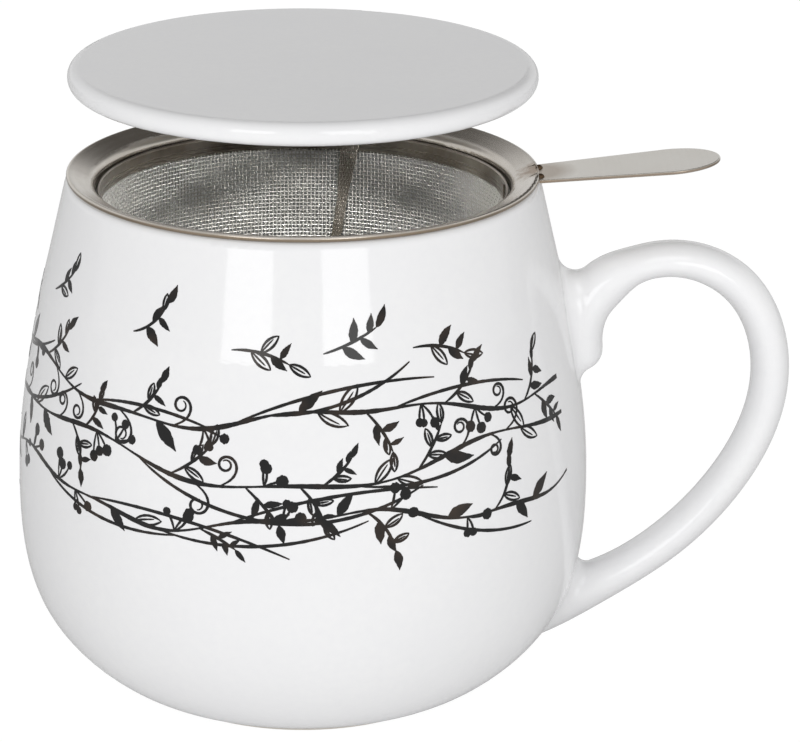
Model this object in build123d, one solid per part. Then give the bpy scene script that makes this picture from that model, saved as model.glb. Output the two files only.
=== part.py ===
from build123d import *
import math
import os

# Tea mug with a lift-out infuser basket and a loose lid.
# Millimetres and degrees. +Z is up, the mug's axis is Z, the mug's handle points along +X,
# and the foot ring stands on z = 0.

# ---------------------------------------------------------------- driving dimensions

# mug body: a slip-cast barrel
mug_height = 90.3
lip_radius = 40.4
lip_round = 1.6
lip_lean = 13.0
shoulder_radius = 44.7
shoulder_height = 70.5
waist_radius = 47.6
waist_height = 54.0
belly_radius = 48.9
belly_height = 36.0
haunch_radius = 45.3
haunch_height = 15.7
heel_radius = 36.0
heel_height = 4.9
foot_radius = 27.0
foot_width = 3.0
foot_height = 0.9
base_recess = 1.6
wall = 3.8
floor_thickness = 5.5
base_slope = 0.15
cavity_steps = 9
cavity_share = 0.86

# mug handle: a cast strap of oval section, luted on at two roots
strap_width = 9.5
lug_width = 12.5
lug_thickness = 8.4
crown_thickness = 5.9
grip_thickness = 6.6
bend_thickness = 6.4
tail_thickness = 10.5
lug_height = 56.4
crown_height = 75.5
grip_height = 56.5
grip_reach = 31.3
tail_height = 19.6
root_height = 12.4
root_depth = 2.0
tail_run = 7.0
tail_fall = 2.4
nose_stand = 0.4
nose_round = 2.9
low_stand = 0.5
middle_stand = 2.4
high_stand = 5.7
upper_fillet = 3.0
lower_fillet = 2.0
strap_sections = 30
section_crowding = 1.6

# where the centreline's points lie, as shares of the spans between the places above
lug_shares = (0.2, 0.513, 0.7225)
crown_share = 0.48
shoulder_shares = (0.17, 0.235)
bend_shares = (0.2, 0.585)
tail_share = 0.642

# where the strap's section changes, as shares of its length
lug_end, crown_at, grip_start, grip_end = 0.12, 0.19, 0.33, 0.8

# infuser rim: one pressed ring of sheet steel with a curled bead and a collar
flange_radius = 40.0
bead_radius = 0.5
sheet = 0.4
curl_angle = 250.0
flange_slope = 22.0
collar_radius = 35.55
collar_drop = 5.9
bend_radius = 1.7
seat_clearance = 0.1

# infuser basket: wire cloth held between the collar and an inner hoop, and in a folded ring
mesh_thickness = 0.56
mesh_top_drop = 3.0
basket_depth = 62.0
seam_azimuth = 77.0
seam_width = 3.6
strip_sheet = 0.3
hoop_drop = 5.4
hoop_rise = 0.2
hoop_lip = 0.15
hoop_lap_azimuth = 8.0
hoop_lap_angle = 9.0
ring_height = 3.2
floor_rise = 2.4
floor_bend = 0.8

# infuser handle: a flat blade welded to the bead
blade_length = 30.7
blade_root_width = 9.9
blade_tip_width = 14.2
blade_tip_length = 8.5
blade_thickness = 0.6
blade_root_depth = 0.25
blade_drop = 0.35
blade_tilt = 5.5
blade_edge_round = 0.2
weld_spacing = 5.4
weld_radius = 0.75
weld_sink = 0.2
crimp_radius = 0.35
crimp_end = 0.1
crimp_sink = 0.1
crimp_length = 3.4
crimp_spread = 12.0

# lid: a flat ceramic disc with a locating ring under it, held clear above its seat
lid_radius = 39.5
lid_thickness = 4.0
lid_edge_round = 1.9
lid_ring_radius = 32.5
lid_ring_width = 3.0
lid_ring_height = 1.6
lid_ring_round = 0.7
lid_hover = 15.0

same_place = 1e-6
halvings = 40


def revolved(face):
    """Turn a profile drawn in the XZ plane about Z, with the closing line away from +X."""
    return revolve(Plane.XZ * face, Axis.Z).rotate(Axis.Z, 180)


# ---------------------------------------------------------------- mug body

lip_centre = (lip_radius - lip_round, mug_height - lip_round)


def around(centre, radius, angle):
    """Point on a circle in the profile plane, at an angle from the outward direction."""
    a = math.radians(angle)
    return (centre[0] + radius * math.cos(a), centre[1] + radius * math.sin(a))


def outer_curve():
    """Outside of the barrel, from the top of the foot ring up to the lip."""
    lean = math.radians(lip_lean)
    return Spline(
        (foot_radius, foot_height),
        (heel_radius, heel_height),
        (haunch_radius, haunch_height),
        (belly_radius, belly_height),
        (waist_radius, waist_height),
        (shoulder_radius, shoulder_height),
        around(lip_centre, lip_round, lip_lean),
        tangents=[(1, base_slope), (-math.sin(lean), math.cos(lean))],
    )


def body_radius(height):
    """Outer radius of the barrel at a height."""
    curve = outer_curve()
    low, high = 0.0, 1.0
    for _ in range(halvings):
        middle = (low + high) / 2
        if curve.position_at(middle).Y < height:
            low = middle
        else:
            high = middle
    return curve.position_at(low).X


def outer_solid():
    """The barrel as a full solid, down to the foot ring."""
    outer = outer_curve()
    arc = CenterArc(lip_centre, lip_round, lip_lean, 90 - lip_lean)
    rest = Polyline(
        arc @ 1, (0, mug_height), (0, 0), (foot_radius, 0), (foot_radius, foot_height)
    )
    return revolved(make_face([outer, arc, rest]))


def mug_body():
    """Barrel of even wall with a round lip, a foot ring and a shallow recess under it."""
    outer = outer_curve()
    arc = CenterArc(lip_centre, lip_round, lip_lean, 180)
    inner = [arc @ 1]
    for step in range(1, cavity_steps):
        u = 1 - step / cavity_steps * cavity_share
        point = outer.position_at(u)
        along = outer.tangent_at(u)
        inner.append((point.X - along.Y * wall, point.Y + along.X * wall))
    lean = math.radians(lip_lean)
    cavity = Spline(
        *inner,
        (foot_radius, floor_thickness),
        tangents=[(math.sin(lean), -math.cos(lean)), (-1, 0)],
    )
    recess_radius = foot_radius - foot_width
    base = Polyline(
        (foot_radius, floor_thickness),
        (0, floor_thickness),
        (0, base_recess),
        (recess_radius - base_recess, base_recess),
        (recess_radius, 0),
        (foot_radius, 0),
        (foot_radius, foot_height),
    )
    return revolved(make_face([outer, arc, cavity, base]))


# ---------------------------------------------------------------- mug handle


def between(u, stops):
    """Smooth value at u between (u, value) stops."""
    for (u0, v0), (u1, v1) in zip(stops, stops[1:]):
        if u <= u1:
            s = (u - u0) / (u1 - u0)
            return v0 + (v1 - v0) * s * s * (3 - 2 * s)
    return stops[-1][1]


def strap_path():
    """Centreline: out of the wall, up the lug, over the crown, down the grip and into the wall."""
    grip = belly_radius + grip_reach
    root = body_radius(root_height)
    rise = crown_height - lug_height
    bow = crown_height - grip_height
    drop = grip_height - tail_height
    low, middle, high = [lug_height + share * rise for share in lug_shares]
    over = grip - body_radius(high)
    under = grip - root
    shoulder_back, shoulder_drop = shoulder_shares
    bend_back, bend_drop = bend_shares
    return Spline(
        (body_radius(lug_height) + nose_stand, 0, lug_height),
        (body_radius(low) + low_stand, 0, low),
        (body_radius(middle) + middle_stand, 0, middle),
        (body_radius(high) + high_stand, 0, high),
        (grip - crown_share * over, 0, crown_height),
        (grip - shoulder_back * over, 0, crown_height - shoulder_drop * bow),
        (grip, 0, grip_height),
        (grip - bend_back * under, 0, grip_height - bend_drop * drop),
        (grip - tail_share * under, 0, tail_height),
        (root - root_depth, 0, root_height),
        (root - root_depth - tail_run, 0, root_height - tail_fall),
    )


def root_edges(shape, number):
    """Edges where a root meets the barrel's wall: number 0 is the lower root, 1 the upper."""
    barrel_wall = shape.faces().filter_by(GeomType.REVOLUTION).sort_by(SortBy.AREA)[-1]
    roots = sorted(barrel_wall.inner_wires(), key=lambda root: root.bounding_box().center().Z)
    return roots[number].edges()


def mug_handle(barrel):
    """Oval strap lofted along the centreline, blended into the barrel at both roots."""
    path = strap_path()
    thickness = [
        (0.0, lug_thickness),
        (lug_end, lug_thickness),
        (crown_at, crown_thickness),
        (grip_start, grip_thickness),
        (grip_end, bend_thickness),
        (1.0, tail_thickness),
    ]
    width = [(0.0, lug_width), (crown_at, strap_width), (grip_end, strap_width), (1.0, lug_width)]
    sections = []
    for step in range(1, strap_sections + 1):
        # The sections stand closer together towards the round nose of the lug.
        u = (step / strap_sections) ** section_crowding
        distance = path.length * u
        short = max(0.0, 1 - distance / nose_round)
        cut = nose_round * (1 - math.sqrt(1 - short * short))
        along = path.tangent_at(distance, position_mode=PositionMode.LENGTH)
        place = Plane(
            path.position_at(distance, position_mode=PositionMode.LENGTH),
            x_dir=Vector(0, 1, 0).cross(along),
            z_dir=along,
        )
        oval = Ellipse(between(u, thickness) / 2 - cut, between(u, width) / 2 - cut)
        sections.append(place * oval)
    strap = loft(sections)
    joined = barrel + strap
    blended = fillet(root_edges(joined, 1), upper_fillet)
    blended = fillet(root_edges(blended, 0), lower_fillet)
    return blended - barrel


# ---------------------------------------------------------------- infuser rim

# The bead rests on the mug's lip; every other height of the infuser hangs from it.
bead_ring = flange_radius - bead_radius
bead_reach = lip_round + bead_radius + seat_clearance
rim_height = lip_centre[1] + math.sqrt(bead_reach**2 - (bead_ring - lip_centre[0]) ** 2)
bead_centre = (bead_ring, rim_height)
flange_edge = around(bead_centre, bead_radius, 90 + flange_slope)
slope_ratio = math.tan(math.radians(flange_slope))


def strip(line, thickness):
    """Sheet of one thickness along a line, with rounded cut edges."""
    return make_face(offset(line, thickness / 2, kind=Kind.ARC, side=Side.BOTH))


def infuser_rim():
    """Collar, bend, sloping flange, its two creases and the bead curled under its edge."""
    middle = collar_radius - sheet / 2
    start = around(bead_centre, bead_radius - sheet / 2, 90 + flange_slope)
    corner = (middle, start[1] - (start[0] - middle) * slope_ratio)
    foot = (middle, rim_height - collar_drop)
    walls = FilletPolyline(foot, corner, start, radius=bend_radius)
    curl = CenterArc(bead_centre, bead_radius - sheet / 2, 90 + flange_slope, -curl_angle)
    ring = revolved(strip(Wire([*walls.edges(), *curl.edges()]), sheet))
    return ring + crimp(-1) + crimp(1)


def crimp(side):
    """Low crease beside the handle, which runs in from the bead over the flange and fades."""
    ends = (Align.CENTER, Align.CENTER, Align.MIN)
    crease = Cone(crimp_radius, crimp_end, crimp_length, align=ends)
    crease = crease.rotate(Axis.Y, -90 - flange_slope).rotate(Axis.Z, -side * crimp_spread)
    top = flange_edge[1] - crimp_sink
    return crease.moved(Location((bead_ring, side * weld_spacing / 2, top)))


# ---------------------------------------------------------------- infuser basket

wall_outside = collar_radius - sheet
wall_inside = wall_outside - mesh_thickness
mesh_top = rim_height - mesh_top_drop
ring_bottom = rim_height - basket_depth
mesh_bottom = ring_bottom + strip_sheet


def turned(face, azimuth, angle):
    """Turn a profile through an angle that is centred on an azimuth."""
    return revolve(Plane.XZ * face, Axis.Z, angle).rotate(Axis.Z, azimuth - angle / 2)


def band(inside, outside, low, high):
    """Rectangle of a profile between two radii and two heights."""
    corners = [(inside, low), (outside, low), (outside, high), (inside, high)]
    return make_face(Polyline(corners, close=True))


def infuser_hoop():
    """Band that clamps the cloth to the collar, lipped over its cut edge, with a lap joint."""
    middle = wall_inside - strip_sheet / 2
    low = rim_height - hoop_drop
    high = mesh_top + hoop_rise
    line = Polyline((middle, low), (middle, high), (middle + hoop_lip, high + hoop_lip))
    inner = band(middle - 3 * strip_sheet / 2, middle, low, high)
    lap = turned(inner, hoop_lap_azimuth, hoop_lap_angle)
    return revolved(strip(line, strip_sheet)) + lap


def infuser_wall():
    """Cloth rolled to a cylinder, doubled along the seam."""
    tube = revolved(band(wall_inside, wall_outside, mesh_bottom, mesh_top))
    low = mesh_bottom + floor_rise + 2 * mesh_thickness
    high = rim_height - hoop_drop - mesh_thickness
    seam = band(wall_inside - mesh_thickness, wall_inside, low, high)
    return tube + turned(seam, seam_azimuth, math.degrees(seam_width / wall_inside))


def infuser_floor():
    """Cloth pressed to a shallow cup that stands upside down inside the wall's foot."""
    top = mesh_bottom + floor_rise + mesh_thickness / 2
    edge = wall_inside - mesh_thickness / 2
    line = FilletPolyline((0, top), (edge, top), (edge, mesh_bottom), radius=floor_bend)
    half = mesh_thickness / 2
    sheet_face = offset(line, half, kind=Kind.ARC, side=Side.BOTH)
    block = band(0, wall_inside, mesh_bottom, top + half)
    return revolved(make_face(sheet_face) & block)


def infuser_ring():
    """Folded ring that holds the feet of the wall and of the floor cup between its legs."""
    inside = wall_inside - mesh_thickness - strip_sheet
    outside = wall_outside + strip_sheet
    outer_leg = band(wall_outside, outside, ring_bottom, ring_bottom + ring_height)
    inner_top = mesh_bottom + floor_rise - floor_bend
    inner_leg = band(inside, inside + strip_sheet, ring_bottom, inner_top)
    web = band(inside, outside, ring_bottom, mesh_bottom)
    profile = outer_leg + inner_leg + web
    return revolved(profile)


# ---------------------------------------------------------------- infuser handle

bead = Torus(bead_ring, bead_radius).moved(Location((0, 0, rim_height)))


def infuser_blade():
    """Flat blade that widens to a round tip, its root shaped to the bead."""
    half_root = blade_root_width / 2
    half_tip = blade_tip_width / 2
    straight = blade_length - blade_tip_length
    start = -blade_root_depth
    sides = Polyline(
        (straight, half_tip), (start, half_root), (start, -half_root), (straight, -half_tip)
    )
    tip = EllipticalCenterArc((straight, 0), blade_tip_length, half_tip, -90, arc_size=180)
    plate = extrude(make_face([sides, tip]), blade_thickness / 2, both=True)
    free = plate.edges().filter_by(lambda edge: edge.center().X > start + blade_thickness)
    rims = free.filter_by(lambda edge: abs(edge.center().Z) > blade_thickness / 4)
    plate = fillet(rims, blade_edge_round)
    root = Location((flange_radius, 0, rim_height - blade_drop))
    blade = plate.rotate(Axis.Y, -blade_tilt).moved(root)
    return (blade - bead).solids().sort_by(SortBy.VOLUME)[-1]


def blade_welds(blade):
    """Two spots of weld on the joint between the bead and the blade."""
    spots = []
    for side in (-1, 1):
        top = rim_height - blade_drop + blade_thickness / 2
        centre = (flange_radius, side * weld_spacing / 2, top - weld_sink)
        spot = Sphere(weld_radius).moved(Location(centre)) - blade - bead
        spots.append(spot.solids().sort_by(Axis.Z)[-1])
    return Compound(spots)


# ---------------------------------------------------------------- lid


def lid_underside():
    """Height of the lid's flat underside as the part stands: its seat plus the hover."""
    reach = (lid_edge_round + seat_clearance) / math.cos(math.radians(flange_slope))
    run = flange_edge[0] - (lid_radius - lid_edge_round)
    return flange_edge[1] - run * slope_ratio + reach - lid_edge_round + lid_hover


def lid():
    """Round-edged disc with a locating ring that drops inside the infuser's hoop."""
    low = lid_underside()
    high = low + lid_thickness
    ring_inside = lid_ring_radius - lid_ring_width
    tip = low - lid_ring_height
    outline = Polyline(
        (0, low),
        (ring_inside, low),
        (ring_inside, tip),
        (lid_ring_radius, tip),
        (lid_ring_radius, low),
        (lid_radius, low),
        (lid_radius, high),
        (0, high),
        close=True,
    )
    profile = make_face(outline)
    rim = [v for v in profile.vertices() if abs(v.X - lid_radius) < same_place]
    profile = fillet(rim, lid_edge_round)
    ring = [v for v in profile.vertices() if abs(v.Y - tip) < same_place]
    profile = fillet(ring, lid_ring_round)
    near = [v for v in profile.vertices() if abs(v.Y - low) < same_place]
    roots = [v for v in near if same_place < v.X < lid_ring_radius + same_place]
    profile = fillet(roots, lid_ring_round)
    return revolved(profile)


# ---------------------------------------------------------------- files


def main():
    barrel = outer_solid()
    blade = infuser_blade()
    pieces = {
        "mug_body": mug_body(),
        "mug_handle": mug_handle(barrel),
        "infuser_rim": infuser_rim(),
        "infuser_hoop": infuser_hoop(),
        "infuser_wall": infuser_wall(),
        "infuser_floor": infuser_floor(),
        "infuser_ring": infuser_ring(),
        "infuser_blade": blade,
        "blade_welds": blade_welds(blade),
        "lid": lid(),
    }
    os.makedirs("parts", exist_ok=True)
    for name, shape in pieces.items():
        export_step(shape, f"parts/{name}.step")


main()
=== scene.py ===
import math
import random

import bpy
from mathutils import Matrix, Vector


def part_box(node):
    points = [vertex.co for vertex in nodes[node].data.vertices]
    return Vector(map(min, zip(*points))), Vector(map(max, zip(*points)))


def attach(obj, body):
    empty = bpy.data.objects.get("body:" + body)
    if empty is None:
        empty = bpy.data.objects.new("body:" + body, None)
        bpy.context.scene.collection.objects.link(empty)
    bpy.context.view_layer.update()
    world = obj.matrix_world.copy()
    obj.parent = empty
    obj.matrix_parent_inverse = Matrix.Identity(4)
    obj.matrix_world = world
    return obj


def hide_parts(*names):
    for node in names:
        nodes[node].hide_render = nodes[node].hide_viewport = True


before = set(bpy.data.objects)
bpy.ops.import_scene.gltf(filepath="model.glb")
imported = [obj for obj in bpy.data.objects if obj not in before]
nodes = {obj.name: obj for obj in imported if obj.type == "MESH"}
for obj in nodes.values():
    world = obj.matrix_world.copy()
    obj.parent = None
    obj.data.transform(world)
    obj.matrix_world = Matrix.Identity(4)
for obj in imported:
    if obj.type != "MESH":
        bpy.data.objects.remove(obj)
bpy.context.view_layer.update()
bpy.ops.object.select_all(action="DESELECT")


# ---- Mug body -------------------------------------------------------------------------------
# A slip-cast stoneware barrel. White body clay under a clear gloss glaze, which pools a little
# unevenly. The foot ring is wiped before firing, so the mug stands on bare clay.

mm = 0.001
glaze_tint = (0.86, 0.86, 0.865)
glaze_deep_tint = (0.84, 0.84, 0.85)
glaze_roughness = 0.07
clay_colour = (0.74, 0.70, 0.63)
clay_roughness = 0.8


def new_group(name, inputs, outputs):
    """Empty shader node group with its own inputs and outputs."""
    tree = bpy.data.node_groups.new(name, "ShaderNodeTree")
    for label, kind in inputs:
        tree.interface.new_socket(label, in_out="INPUT", socket_type=kind)
    for label, kind in outputs:
        tree.interface.new_socket(label, in_out="OUTPUT", socket_type=kind)
    return tree, tree.nodes.new("NodeGroupInput"), tree.nodes.new("NodeGroupOutput")


def add(tree, kind, links=None, **settings):
    """Node in a tree, with its settings, and with its inputs linked or given a value."""
    node = tree.nodes.new(kind)
    for name, value in settings.items():
        setattr(node, name, value)
    for name, value in (links or {}).items():
        if isinstance(value, bpy.types.NodeSocket):
            tree.links.new(value, node.inputs[name])
        else:
            node.inputs[name].default_value = value
    return node


def compute(tree, operation, *values):
    """Result of a maths node on these sockets or numbers."""
    inputs = dict(enumerate(values))
    return add(tree, "ShaderNodeMath", inputs, operation=operation).outputs["Value"]


def remap(tree, value, start, end, low=0.0, high=1.0, kind="LINEAR"):
    """What runs from low to high while a value runs from start to end, and stays there."""
    limits = {"From Min": start, "From Max": end, "To Min": low, "To Max": high}
    node = add(tree, "ShaderNodeMapRange", {"Value": value, **limits}, interpolation_type=kind)
    return node.outputs["Result"]


def noise(tree, place, scale, detail):
    """Cloudy noise over a place."""
    inputs = {"Vector": place, "Scale": scale, "Detail": detail}
    return add(tree, "ShaderNodeTexNoise", inputs).outputs["Fac"]


def blend(tree, share, colour, other):
    """Colour that turns into another as a share goes from 0 to 1."""
    inputs = {"Factor": share, "A": colour, "B": (*other, 1)}
    return add(tree, "ShaderNodeMix", inputs, data_type="RGBA").outputs["Result"]


def ramp(tree, value, first_stop, last_stop, kind="LINEAR"):
    """Colour that runs between two stops, each a position and a colour."""
    node = add(tree, "ShaderNodeValToRGB", {"Fac": value})
    node.color_ramp.interpolation = kind
    for element, (position, colour) in zip(node.color_ramp.elements, (first_stop, last_stop)):
        element.position = position
        element.color = (*colour, 1)
    return node.outputs["Color"]


def finish_material(name):
    """Material with one Principled BSDF, its tree, that node, and its place in the object."""
    material = bpy.data.materials.new(name)
    material.use_nodes = True
    tree = material.node_tree
    place = tree.nodes.new("ShaderNodeTexCoord")
    return material, tree, tree.nodes["Principled BSDF"], place.outputs["Object"]


def wear(node, material):
    """Give a CAD node this material in all its slots."""
    for index in range(len(node.material_slots)):
        node.material_slots[index].material = material


glaze_flow, entry, leave = new_group(
    "glaze_flow",
    [("Place", "NodeSocketVector")],
    [("Mottle", "NodeSocketFloat"), ("Normal", "NodeSocketVector")],
)
pool = noise(glaze_flow, entry.outputs["Place"], 55.0, 2.0)
grain = noise(glaze_flow, entry.outputs["Place"], 700.0, 3.0)
mottle = compute(glaze_flow, "MULTIPLY", pool, grain)
ripple = add(glaze_flow, "ShaderNodeBump", {"Height": pool, "Strength": 0.05, "Distance": 0.4 * mm})
glaze_flow.links.new(mottle, leave.inputs["Mottle"])
glaze_flow.links.new(ripple.outputs["Normal"], leave.inputs["Normal"])


def glazed(name, stand):
    """Clear gloss glaze over white clay, wiped off up to 0.4 mm above the height it stands at."""
    material, tree, surface, place = finish_material(name)
    flow = add(tree, "ShaderNodeGroup", {"Place": place}, node_tree=glaze_flow)
    glaze = ramp(tree, flow.outputs["Mottle"], (0.1, glaze_deep_tint), (0.4, glaze_tint))
    height = add(tree, "ShaderNodeSeparateXYZ", {"Vector": place}).outputs["Z"]
    wiped = remap(tree, height, stand + 0.45 * mm, stand + 0.35 * mm)
    colour = blend(tree, wiped, glaze, clay_colour)
    roughness = remap(tree, wiped, 0.0, 1.0, glaze_roughness, clay_roughness)
    tree.links.new(colour, surface.inputs["Base Color"])
    tree.links.new(roughness, surface.inputs["Roughness"])
    tree.links.new(flow.outputs["Normal"], surface.inputs["Normal"])
    surface.inputs["IOR"].default_value = 1.5
    return material


mug_glaze = glazed("mug_glaze", 0.0)
wear(nodes["mug_body"], mug_glaze)


# ---- Ink print ------------------------------------------------------------------------------
# Trailing stems with leaves, tendrils and berries, drawn with a pen and printed on the glaze in
# black-brown ceramic ink. The drawing runs round the barrel and stops short of the handle.

# The drawing is laid out flat, in millimetres: the widths of its lines, then the barrel's radius
# and the stretch round it that is drawn on.
runner_pen = 0.85
grass_pen = 0.6
stem_pen = 0.56
tendril_pen = 0.5
outline_pen = 0.46
stalk_pen = 0.42
rib_pen = 0.34
finest_pen = 0.1
drawn_radius = 46.0
drawn_start = drawn_radius * math.radians(24)
drawn_end = drawn_radius * math.radians(336)
ink_depth = 0.08 * mm
ink_sunk = 0.01 * mm
hand = random.Random(8)
strokes = []


def pressed(share):
    """Pressure of a plain line, light where the pen lands and where it lifts."""
    lightest = 0.35
    return lightest + (1 - lightest) * math.sin(math.pi * share) ** 0.6


def leafy(share):
    """Pressure of a leaf, which swells early and ends in a point."""
    return math.sin(math.pi * share**0.8)


def rounded(share):
    """Pressure of a round dab."""
    return math.sqrt(max(1 - (2 * share - 1) ** 2, 0.0))


def draw(points, width, pressure):
    """Keep one stroke: points round the barrel and up, a layer of its own, and widths."""
    layer = hand.uniform(0.0, 0.01)
    last = len(points) - 1
    line = []
    for at, point in enumerate(points):
        breadth = width * pressure(at / last) * hand.uniform(0.9, 1.1)
        line.append((*point, layer, max(breadth, finest_pen)))
    strokes.append(line)


def bow(start, heading, length, turn, tighten=1.0, steps=12):
    """Points of a line that leaves in a heading, in degrees, and turns as it goes."""
    x, height = start
    points = [start]
    for step in range(steps):
        aim = math.radians(heading + turn * ((step + 0.5) / steps) ** tighten)
        x += length / steps * math.cos(aim)
        height += length / steps * math.sin(aim)
        points.append((x, height))
    return points


def leaf(start, heading, length):
    """A leaf, filled in or drawn as an outline with a rib."""
    filled_share = 0.68
    splay = 36
    lean = hand.uniform(-30, 30)
    if hand.random() < filled_share:
        draw(bow(start, heading, length, lean), length * hand.uniform(0.32, 0.44), leafy)
        return
    for side in (-1, 1):
        leaves_at = heading + side * splay + lean / 2
        edge = bow(start, leaves_at, length * 1.07, -side * 2 * splay + lean / 3)
        draw(edge, outline_pen, pressed)
    draw(bow(start, heading + lean / 3, length * 0.75, lean / 3), rib_pen, pressed)


def sprig(start, heading, side, length):
    """A short stem that bends away, with leaves on both sides and one at its tip."""
    stem = bow(start, heading, length, side * hand.uniform(10, 60))
    draw(stem, stem_pen, pressed)
    for number, at in enumerate((4, 6, 8, 10)):
        swing = 52 if number % 2 else -52
        leaf(stem[at], heading + swing, length * (0.52 - 0.02 * at))
    leaf(stem[-1], heading + side * 35, length * 0.4)


def tendril(start, heading, side):
    """A thin line that rolls up at its end."""
    length = hand.uniform(10, 15)
    curl = bow(start, heading, length, side * hand.uniform(480, 640), tighten=1.9, steps=40)
    draw(curl, tendril_pen, pressed)


def berries(start, heading, side):
    """Three stalks from one place, each with a dab at its end."""
    for fan in (-38, 0, 34):
        stalk = bow(start, heading + fan, hand.uniform(2.6, 4.4), side * hand.uniform(-30, 50))
        draw(stalk, stalk_pen, pressed)
        size = hand.uniform(1.3, 2.1)
        x, height = stalk[-1]
        draw(bow((x - size / 2, height), 0, size, 0), size, rounded)


def grass(start, heading, side):
    """A long blade of grass, left out where it would run into the handle."""
    lean = heading + side * hand.uniform(10, 18)
    blade = bow(start, lean, hand.uniform(24, 40), -side * 34, steps=36)
    if blade[-1][0] < drawn_end:
        draw(blade, grass_pen, pressed)


def runner(height, swing, period, phase):
    """A long stem round the barrel, with something growing out of it every few millimetres."""
    point_gap = 0.6
    x = drawn_start
    stem = []
    while x < drawn_end:
        wave = math.sin(math.tau * x / period + phase)
        quick_wave = math.sin(math.tau * x / (0.37 * period) + 2 * phase)
        stem.append((x, height + swing * (wave + 0.3 * quick_wave)))
        x += point_gap
    draw(stem, runner_pen, lambda share: 0.72 + 0.28 * math.sin(70 * share + phase))
    side = 1
    at = hand.randint(3, 8)
    while at < len(stem) - 12:
        (x0, z0), (x1, z1) = stem[at], stem[at + 1]
        heading = math.degrees(math.atan2(z1 - z0, x1 - x0))
        kind = hand.random()
        if kind < 0.30:
            leaf(stem[at], heading + side * hand.uniform(35, 65), hand.uniform(4.0, 6.0))
        elif kind < 0.52:
            aim = heading + side * hand.uniform(30, 50)
            sprig(stem[at], aim, side, hand.uniform(6.5, 9.0))
        elif kind < 0.66:
            tendril(stem[at], heading + side * 25, side)
        elif kind < 0.82:
            berries(stem[at], heading + side * hand.uniform(45, 70), side)
        else:
            grass(stem[at], heading, side)
        side = -side
        at += hand.randint(5, 10)


runner(62.0, 2.0, 71.0, 0.4)
runner(53.5, 2.6, 88.0, 2.1)
runner(45.0, 2.0, 63.0, 4.4)
x = drawn_start + 10
while x < drawn_end - 12:
    loose_end = (x, hand.uniform(72, 75))
    heading = hand.uniform(-25, 25)
    sprig(loose_end, heading, hand.choice((-1, 1)), hand.uniform(7.5, 10.5))
    x += hand.uniform(15, 30)


def to_mesh(name, curve):
    """Active mesh object made from a curve."""
    piece = bpy.data.objects.new(name, curve)
    bpy.context.scene.collection.objects.link(piece)
    bpy.ops.object.select_all(action="DESELECT")
    piece.select_set(True)
    bpy.context.view_layer.objects.active = piece
    bpy.ops.object.convert(target="MESH")
    return piece


# A ribbon as wide as each stroke, wrapped round the barrel and given the ink's thickness.
pen_lines = bpy.data.curves.new("ink_print", "CURVE")
pen_lines.dimensions = "3D"
pen_lines.twist_mode = "Z_UP"
pen_lines.extrude = mm / 2
for line in strokes:
    places = [value for x, y, z, _ in line for value in (x * mm, y * mm, z * mm, 1.0)]
    spline = pen_lines.splines.new("POLY")
    spline.points.add(len(line) - 1)
    spline.points.foreach_set("co", places)
    spline.points.foreach_set("radius", [point[3] for point in line])
    spline.points.foreach_set("tilt", [math.pi / 2] * len(line))
ink_print = to_mesh("ink_print", pen_lines)
for vertex in ink_print.data.vertices:
    turn = vertex.co.x / (drawn_radius * mm)
    out = Vector((math.cos(turn), math.sin(turn), 0.0))
    outside = 100 * mm * out + Vector((0.0, 0.0, vertex.co.y))
    spot = nodes["mug_body"].ray_cast(outside, -out)[1]
    vertex.co = spot + (vertex.co.z - ink_sunk) * out
thicken = ink_print.modifiers.new("thicken", "SOLIDIFY")
thicken.thickness = ink_depth
thicken.offset = 0.0
bpy.ops.object.modifier_apply(modifier="thicken")
bpy.ops.object.shade_smooth_by_angle(angle=math.radians(40))

ink, tree, surface, place = finish_material("black_brown_ink")
thin = noise(tree, place, 160.0, 3.0)
colour = ramp(tree, thin, (0.48, (0.002, 0.002, 0.002)), (0.72, (0.030, 0.019, 0.012)))
tree.links.new(colour, surface.inputs["Base Color"])
surface.inputs["Roughness"].default_value = 0.12
surface.inputs["Specular IOR Level"].default_value = 0.35
ink_print.data.materials.append(ink)
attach(ink_print, "mug")


# ---- Mug handle -----------------------------------------------------------------------------
# A cast strap of oval section, luted to the barrel before firing and glazed with it. Its roots
# are smoothed into the wall with slip.

wear(nodes["mug_handle"], mug_glaze)


# ---- Infuser rim ----------------------------------------------------------------------------
# One ring pressed from thin stainless sheet: a collar, a sloping flange and a bead curled under
# the edge. It was spun to polish it, which leaves fine rings. The place beside the welds is
# browned by heat. The underside of the bead is darkened with painted shade.

rim_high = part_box("infuser_rim")[1]
bead_radius = rim_high.y
bead_middle = rim_high.z - 0.55 * mm
weld_low, weld_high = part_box("blade_welds")
weld_place = Vector((weld_low.x, 0.0, weld_high.z))


def around_and_up(tree, place):
    """Distance of a place from the upright axis, and its height."""
    axes = add(tree, "ShaderNodeSeparateXYZ", {"Vector": place})
    flat = add(tree, "ShaderNodeCombineXYZ", {"X": axes.outputs["X"], "Y": axes.outputs["Y"]})
    reach = add(tree, "ShaderNodeVectorMath", {0: flat.outputs["Vector"]}, operation="LENGTH")
    return reach.outputs["Value"], axes.outputs["Z"]


def distance(tree, place, point):
    """Distance of a place from a fixed point."""
    inputs = {0: place, 1: point}
    return add(tree, "ShaderNodeVectorMath", inputs, operation="DISTANCE").outputs["Value"]


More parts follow.
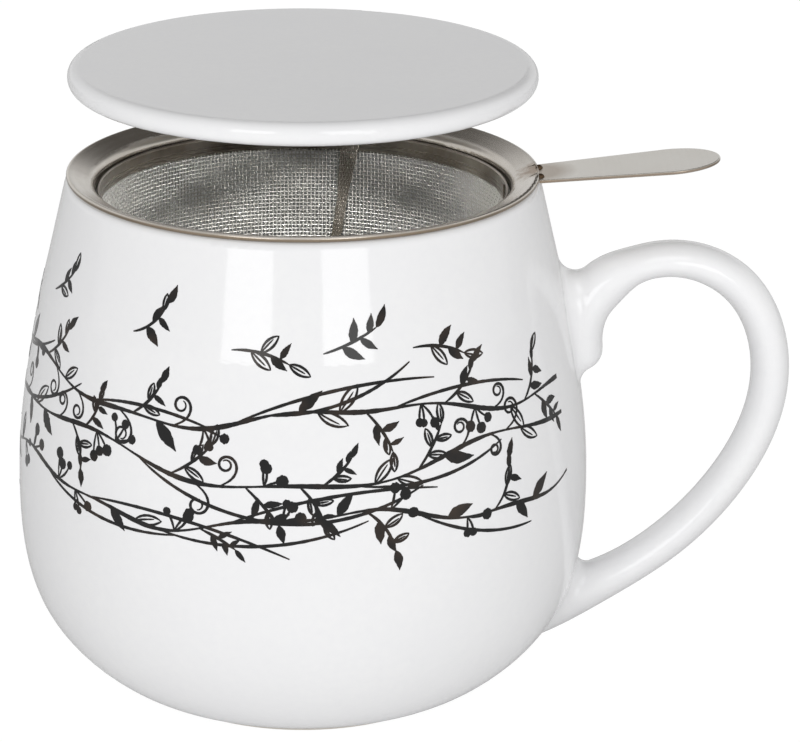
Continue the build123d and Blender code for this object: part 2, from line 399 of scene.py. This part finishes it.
spun_steel, entry, leave = new_group(
    "spun_steel",
    [("Place", "NodeSocketVector"), ("Depth", "NodeSocketFloat")],
    [("Streak", "NodeSocketFloat"), ("Smudge", "NodeSocketFloat"), ("Normal", "NodeSocketVector")],
)
across = compute(spun_steel, "ADD", *around_and_up(spun_steel, entry.outputs["Place"]))
fineness = {"W": across, "Scale": 1800.0, "Detail": 2.0}
rings = add(spun_steel, "ShaderNodeTexNoise", fineness, noise_dimensions="1D").outputs["Fac"]
scratch = add(
    spun_steel,
    "ShaderNodeBump",
    {"Height": rings, "Strength": entry.outputs["Depth"], "Distance": 0.05 * mm},
)
patch = noise(spun_steel, entry.outputs["Place"], 90.0, 4.0)
spun_steel.links.new(rings, leave.inputs["Streak"])
spun_steel.links.new(patch, leave.inputs["Smudge"])
spun_steel.links.new(scratch.outputs["Normal"], leave.inputs["Normal"])


def steel(name, pale, dull, smooth, rough, depth):
    """Satin stainless steel with faint smudges, and spun rings where they have a depth."""
    material, tree, surface, place = finish_material(name)
    spun = add(tree, "ShaderNodeGroup", {"Place": place, "Depth": depth}, node_tree=spun_steel)
    colour = ramp(tree, spun.outputs["Smudge"], (0.35, dull), (0.65, pale))
    roughness = remap(tree, spun.outputs["Streak"], 0.0, 1.0, smooth, rough)
    tree.links.new(colour, surface.inputs["Base Color"])
    tree.links.new(roughness, surface.inputs["Roughness"])
    tree.links.new(spun.outputs["Normal"], surface.inputs["Normal"])
    surface.inputs["Metallic"].default_value = 1.0
    return material


def tinted(material, share, tint):
    """Lay another colour over what feeds the base colour, by a share from 0 to 1."""
    tree = material.node_tree
    base = tree.nodes["Principled BSDF"].inputs["Base Color"]
    tree.links.new(blend(tree, share, base.links[0].from_socket, tint), base)


rim_steel = steel("rim_steel", (0.68, 0.64, 0.585), (0.58, 0.54, 0.485), 0.16, 0.28, 0.05)
tree = rim_steel.node_tree
place = tree.nodes["Texture Coordinate"].outputs["Object"]
reach, height = around_and_up(tree, place)
# Painted shade: a dark brown is laid over the underside of the bead.
outside = remap(tree, reach, bead_radius - 0.5 * mm, bead_radius - 0.3 * mm)
painted_shade_under_bead = remap(tree, height, bead_middle + 0.15 * mm, bead_middle - 0.1 * mm, high=0.85)
tinted(rim_steel, compute(tree, "MULTIPLY", outside, painted_shade_under_bead), (0.20, 0.145, 0.09))
blotch = noise(tree, place, 900.0, 3.0)
uneven = compute(tree, "MULTIPLY_ADD", blotch, 6.0 * mm, distance(tree, place, weld_place))
burnt = remap(tree, uneven, 8.0 * mm, 4.5 * mm, high=0.9)
tinted(rim_steel, burnt, (0.24, 0.16, 0.09))
for name in ("infuser_rim", "infuser_ring"):
    wear(nodes[name], rim_steel)


# ---- Infuser hoop ---------------------------------------------------------------------------
# A lipped band that clamps the cloth round the collar and laps over itself. It is given a
# duller, darker and browner steel than the rim.

hoop_steel = steel("hoop_steel", (0.44, 0.40, 0.35), (0.20, 0.17, 0.14), 0.22, 0.36, 0.2)
wear(nodes["infuser_hoop"], hoop_steel)


# ---- Infuser basket wall --------------------------------------------------------------------
# Plain-woven stainless wire cloth, rolled to a cylinder and doubled along a seam. Each warp wire
# passes over one weft wire and under the next, so the cloth is two wires thick.

wall_low, wall_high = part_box("infuser_wall")
cloth_thickness = 0.56 * mm
wire = cloth_thickness / 2
cloth_radius = wall_high.x - cloth_thickness / 2
warps = 324
wefts = 86
weft_pitch = (wall_high.z - wall_low.z) / wefts
steepest_skew = 0.26
seam_azimuth = math.radians(77)


def around_axis(radius, azimuth, height):
    """Point at a radius, an azimuth from +X and a height."""
    return (radius * math.cos(azimuth), radius * math.sin(azimuth), height)


def wires(name, lines, closed=False):
    """One mesh of round wires along lines of points, with closed ends."""
    curve = bpy.data.curves.new(name, "CURVE")
    curve.dimensions = "3D"
    curve.bevel_depth = wire / 2
    curve.bevel_resolution = 0
    curve.use_fill_caps = not closed
    for line in lines:
        spline = curve.splines.new("POLY")
        spline.points.add(len(line) - 1)
        spline.points.foreach_set("co", [value for point in line for value in (*point, 1.0)])
        spline.use_cyclic_u = closed
    bundle = to_mesh(name, curve)
    bpy.ops.object.shade_smooth()
    return bundle


def crossing(number, row, side):
    """Point where a warp and a weft cross. Right of the seam the cloth was rolled up skewed."""
    azimuth = math.tau * number / warps
    past_seam = (seam_azimuth - azimuth) % math.tau
    height = wall_low.z + (row + 0.5) * weft_pitch
    skew = math.sin(past_seam) ** 2 if past_seam < math.pi else 0.0
    azimuth -= steepest_skew * skew * (wall_high.z - height) / cloth_radius
    return around_axis(cloth_radius + side * wire / 2, azimuth, height)


def warp_line(number):
    """Centreline of one upright wire."""
    return [crossing(number, row, 1 if (number + row) % 2 else -1) for row in range(wefts)]


def weft_line(row):
    """Centreline of one wire that runs round the basket."""
    return [crossing(number, row, -1 if (number + row) % 2 else 1) for number in range(warps)]


cloth_steel = steel("cloth_steel", (0.62, 0.61, 0.58), (0.55, 0.535, 0.50), 0.5, 0.65, 0.0)
wall_cloth = [
    wires("wall_warp_right", [warp_line(number) for number in range(warps // 2)]),
    wires("wall_warp_left", [warp_line(number) for number in range(warps // 2, warps)]),
    wires("wall_weft_lower", [weft_line(row) for row in range(wefts // 2)], closed=True),
    wires("wall_weft_upper", [weft_line(row) for row in range(wefts // 2, wefts)], closed=True),
]
for piece in wall_cloth:
    piece.data.materials.append(cloth_steel)
    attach(piece, "infuser")
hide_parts("infuser_wall")

# The doubled edge lies inside the wall. It runs a little askew, and its cut wires spread apart
# towards the top. Its wires get a darker, browner steel than the wall. Its sizes are in
# millimetres.
seam_strands = range(-4, 5)
seam_rows = 77
seam_drop = 0.6
seam_pitch = 0.68
strand_gap = 0.2
strand_spread = 0.22
spread_rows = 16
seam_inset = 0.5
seam_weave = 0.09
seam_offset = 0.02
seam_lean = 0.0028
seam_wobble = 0.001


def seam_point(strand, step, lift):
    """Point of the doubled edge, by its strand and its step down from the top."""
    gap = strand_gap + strand_spread * max(0.0, 1 - step / spread_rows)
    middle = seam_azimuth - seam_offset + seam_lean * step
    azimuth = middle + strand * gap * mm / cloth_radius + hand.uniform(-1, 1) * seam_wobble
    height = wall_high.z - (seam_drop + seam_pitch * step) * mm
    return around_axis(cloth_radius - (seam_inset + seam_weave * lift) * mm, azimuth, height)


seam_lines = []
for strand in seam_strands:
    steps = range(hand.randint(0, 2), seam_rows)
    seam_lines.append([seam_point(strand, step, (-1) ** (strand + step)) for step in steps])
for step in range(seam_rows):
    cut_wire = [seam_point(strand, step, -((-1) ** (strand + step))) for strand in seam_strands]
    seam_lines.append(cut_wire)
seam_steel = steel("seam_steel", (0.33, 0.30, 0.26), (0.17, 0.15, 0.12), 0.4, 0.6, 0.0)
wall_seam = wires("wall_seam", seam_lines)
wall_seam.data.materials.append(seam_steel)
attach(wall_seam, "infuser")


# ---- Infuser basket floor -------------------------------------------------------------------
# A disc of the same cloth pressed to a shallow cup, which stands upside down in the wall's foot.
# Its wires rise and fall in waves along both axes, and the holes between them are painted
# near black as painted shade.

weave_pitch = 0.68 * mm
floor_steel = steel("floor_steel", (0.62, 0.61, 0.58), (0.55, 0.535, 0.50), 0.4, 0.55, 0.0)
tree = floor_steel.node_tree
place = tree.nodes["Texture Coordinate"].outputs["Object"]
axes = add(tree, "ShaderNodeSeparateXYZ", {"Vector": place})
waves = []
for axis in ("X", "Y"):
    along = compute(tree, "MULTIPLY", axes.outputs[axis], math.pi / weave_pitch)
    away = compute(tree, "ABSOLUTE", compute(tree, "SINE", along))
    waves.append((away, compute(tree, "COSINE", along)))
(away_x, wave_x), (away_y, wave_y) = waves
between = compute(tree, "MINIMUM", away_x, away_y)
over = compute(tree, "MULTIPLY", wave_x, wave_y)
relief = compute(tree, "MULTIPLY_ADD", over, 0.4, between)
woven = add(
    tree,
    "ShaderNodeBump",
    {"Height": relief, "Strength": 0.9, "Distance": 0.2 * mm},
    invert=True,
)
tree.links.new(woven.outputs["Normal"], tree.nodes["Principled BSDF"].inputs["Normal"])
# Painted shade: the holes between the wires are painted near black.
tinted(floor_steel, remap(tree, between, 0.55, 0.68), (0.02, 0.02, 0.02))
wear(nodes["infuser_floor"], floor_steel)


# ---- Infuser blade --------------------------------------------------------------------------
# The handle is a flat blade stamped from the same stainless sheet and butt-welded to the bead.
# Its edge is painted darker than its faces, as painted shade, and the welds' heat has browned its
# root.

blade_steel = steel("blade_steel", (0.97, 0.94, 0.88), (0.93, 0.895, 0.83), 0.24, 0.27, 0.0)
tree = blade_steel.node_tree
coordinates = tree.nodes["Texture Coordinate"]
# Painted shade: faces that point sideways, the blade's edge, get a dark brown.
facing = add(tree, "ShaderNodeSeparateXYZ", {"Vector": coordinates.outputs["Normal"]})
flatness = compute(tree, "ABSOLUTE", facing.outputs["Z"])
painted_shade_edge = remap(tree, flatness, 0.8, 0.4, high=0.9)
tinted(blade_steel, painted_shade_edge, (0.24, 0.18, 0.13))
from_weld = distance(tree, coordinates.outputs["Object"], weld_place)
scorched = remap(tree, from_weld, 7.0 * mm, 3.5 * mm, high=0.6)
tinted(blade_steel, scorched, (0.36, 0.26, 0.17))
wear(nodes["infuser_blade"], blade_steel)
weld_steel = steel("weld_steel", (0.17, 0.115, 0.07), (0.07, 0.045, 0.028), 0.4, 0.6, 0.3)
wear(nodes["blade_welds"], weld_steel)


# ---- Lid ------------------------------------------------------------------------------------
# A loose disc of the same clay and glaze, with a rounded edge and a low ring under it. It was
# fired standing on that ring, whose foot is bare clay.

lid_glaze = glazed("lid_glaze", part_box("lid")[0].z)
wear(nodes["lid"], lid_glaze)


# ---- Table, light and camera ----------------------------------------------------------------
# A plain white sweep in an even white room, with two tall window boxes in front. Narrow spots
# reach the basket's cloth alone, and a lamp overhead reaches the mug's handle alone.

# The sweep glows white all over as it is seen itself, and towards the front as the glaze mirrors
# it too.
seen_glow = 0.93
front_glow = 0.78
front_start = -120 * mm
bpy.ops.mesh.primitive_plane_add(size=6.0, location=(0, 0, 0))
table = bpy.context.object
table.name = "table"
paper, tree, surface, place = finish_material("white_paper")
surface.inputs["Base Color"].default_value = (0.9, 0.9, 0.9, 1)
surface.inputs["Roughness"].default_value = 0.9
glow = add(tree, "ShaderNodeEmission", {"Color": (1, 1, 1, 1), "Strength": 1.05})
depth = add(tree, "ShaderNodeSeparateXYZ", {"Vector": place}).outputs["Y"]
near = remap(tree, depth, 0.0, front_start, high=front_glow, kind="SMOOTHSTEP")
seen = add(tree, "ShaderNodeLightPath").outputs["Is Camera Ray"]
share = compute(tree, "MAXIMUM", compute(tree, "MULTIPLY", seen, seen_glow), near)
ends = {1: surface.outputs["BSDF"], 2: glow.outputs["Emission"]}
mixed = add(tree, "ShaderNodeMixShader", {"Fac": share, **ends})
tree.links.new(mixed.outputs["Shader"], tree.nodes["Material Output"].inputs["Surface"])
table.data.materials.append(paper)

world = bpy.data.worlds.new("room")
bpy.context.scene.world = world
world.use_nodes = True
room_tree = world.node_tree
way = add(room_tree, "ShaderNodeTexCoord").outputs["Generated"]


def patched(colour, towards, outer, inner, other):
    """Room's colour with a soft round patch about a direction, between two angles from it."""
    inputs = {0: way, 1: Vector(towards).normalized()}
    facing = add(room_tree, "ShaderNodeVectorMath", inputs, operation="DOT_PRODUCT")
    start, end = (math.cos(math.radians(angle)) for angle in (outer, inner))
    share = remap(room_tree, facing.outputs["Value"], start, end, kind="SMOOTHSTEP")
    return blend(room_tree, share, colour, other)


height = add(room_tree, "ShaderNodeSeparateXYZ", {"Vector": way}).outputs["Z"]
sky = ramp(room_tree, height, (0.45, (0.80, 0.80, 0.80)), (0.8, (0.42, 0.42, 0.42)), "EASE")
front = patched(sky, (0.0, -0.82, 0.57), 62.0, 18.0, (0.85, 0.85, 0.85))
ceiling = patched(front, (0.16, 0.6, 0.8), 42.0, 22.0, (0.10, 0.095, 0.09))
room = room_tree.nodes["Background"]
room_tree.links.new(ceiling, room.inputs["Color"])
room.inputs["Strength"].default_value = 1.0
backdrop = add(room_tree, "ShaderNodeBackground", {"Color": (1, 1, 1, 1), "Strength": 1.0})
seen = add(room_tree, "ShaderNodeLightPath").outputs["Is Camera Ray"]
ends = {1: room.outputs["Background"], 2: backdrop.outputs["Background"]}
mixed = add(room_tree, "ShaderNodeMixShader", {"Fac": seen, **ends})
room_tree.links.new(mixed.outputs["Shader"], room_tree.nodes["World Output"].inputs["Surface"])


def hang(name, kind, energy, location, angles):
    """Lamp at a place, turned by three angles in degrees."""
    light = bpy.data.lights.new(name, kind)
    light.energy = energy
    lamp = bpy.data.objects.new(name, light)
    lamp.location = location
    lamp.rotation_euler = [math.radians(angle) for angle in angles]
    bpy.context.scene.collection.objects.link(lamp)
    return lamp


def shine_on(lamp, pieces, state):
    """Let a lamp light only these pieces (INCLUDE), or all but these (EXCLUDE)."""
    listed = bpy.data.collections.new(lamp.name)
    for piece in pieces:
        listed.objects.link(piece)
    for member in listed.collection_objects:
        member.light_linking.link_state = state
    lamp.light_linking.receiver_collection = listed


# The windows spare the cloth, because its round wires would catch them as bright grains.
basket_wires = (*wall_cloth, wall_seam)
window_distance = 1.2
window_width = 2 * window_distance * math.tan(math.radians(10.6))
window_low = 0.17
window_high = 0.72
window_height = window_high - window_low
window_radiance = 2.3
window_energy = window_radiance * math.pi * window_width * window_height
for name, azimuth in (("window_left", -24.0), ("window_right", 19.0)):
    turn = math.radians(azimuth)
    middle = (
        window_distance * math.sin(turn),
        -window_distance * math.cos(turn),
        (window_low + window_high) / 2,
    )
    window = hang(name, "AREA", window_energy, middle, (90, 0, azimuth))
    window.data.shape = "RECTANGLE"
    window.data.size = window_width
    window.data.size_y = window_height
    shine_on(window, basket_wires, "EXCLUDE")

# The spots aim at the basket's mouth, through the gap between the rim and the raised lid.
mouth_height = 83 * mm
snoot_distance = 1.2
snoot_angle = math.radians(4.2)
for name, azimuth, elevation, energy in (
    ("snoot_left", -84.0, 12.0, 56.0),
    ("snoot_right", 84.0, 12.0, 76.0),
    ("snoot_low", 0.0, 25.0, 58.0),
    ("snoot_low_left", -40.0, 23.5, 110.0),
    ("snoot_low_right", 40.0, 23.5, 110.0),
):
    turn, rise = math.radians(azimuth), math.radians(elevation)
    place = (
        snoot_distance * math.cos(rise) * math.sin(turn),
        -snoot_distance * math.cos(rise) * math.cos(turn),
        mouth_height + snoot_distance * math.sin(rise),
    )
    snoot = hang(name, "SPOT", energy, place, (90 - elevation, 0, azimuth))
    snoot.data.spot_size = snoot_angle
    snoot.data.spot_blend = 0.3
    snoot.data.shadow_soft_size = 0.05
    shine_on(snoot, basket_wires, "INCLUDE")

overhead = hang("overhead", "AREA", 1.8, (0.1, -0.6, 1.1), (30, 0, 0))
overhead.data.size = 0.6
shine_on(overhead, [nodes["mug_handle"]], "INCLUDE")

camera = bpy.data.objects.new("camera", bpy.data.cameras.new("camera"))
camera.location = (0.000337, -0.703453, 0.292147)
camera.rotation_euler = [math.radians(angle) for angle in (71.3913, -0.3886, -1.1944)]
camera.data.lens = 194.54
camera.data.sensor_width = 36.0
camera.data.clip_start = 0.05
camera.data.clip_end = 20.0
bpy.context.scene.collection.objects.link(camera)
bpy.context.scene.camera = camera
bpy.context.scene.view_settings.view_transform = "Standard"
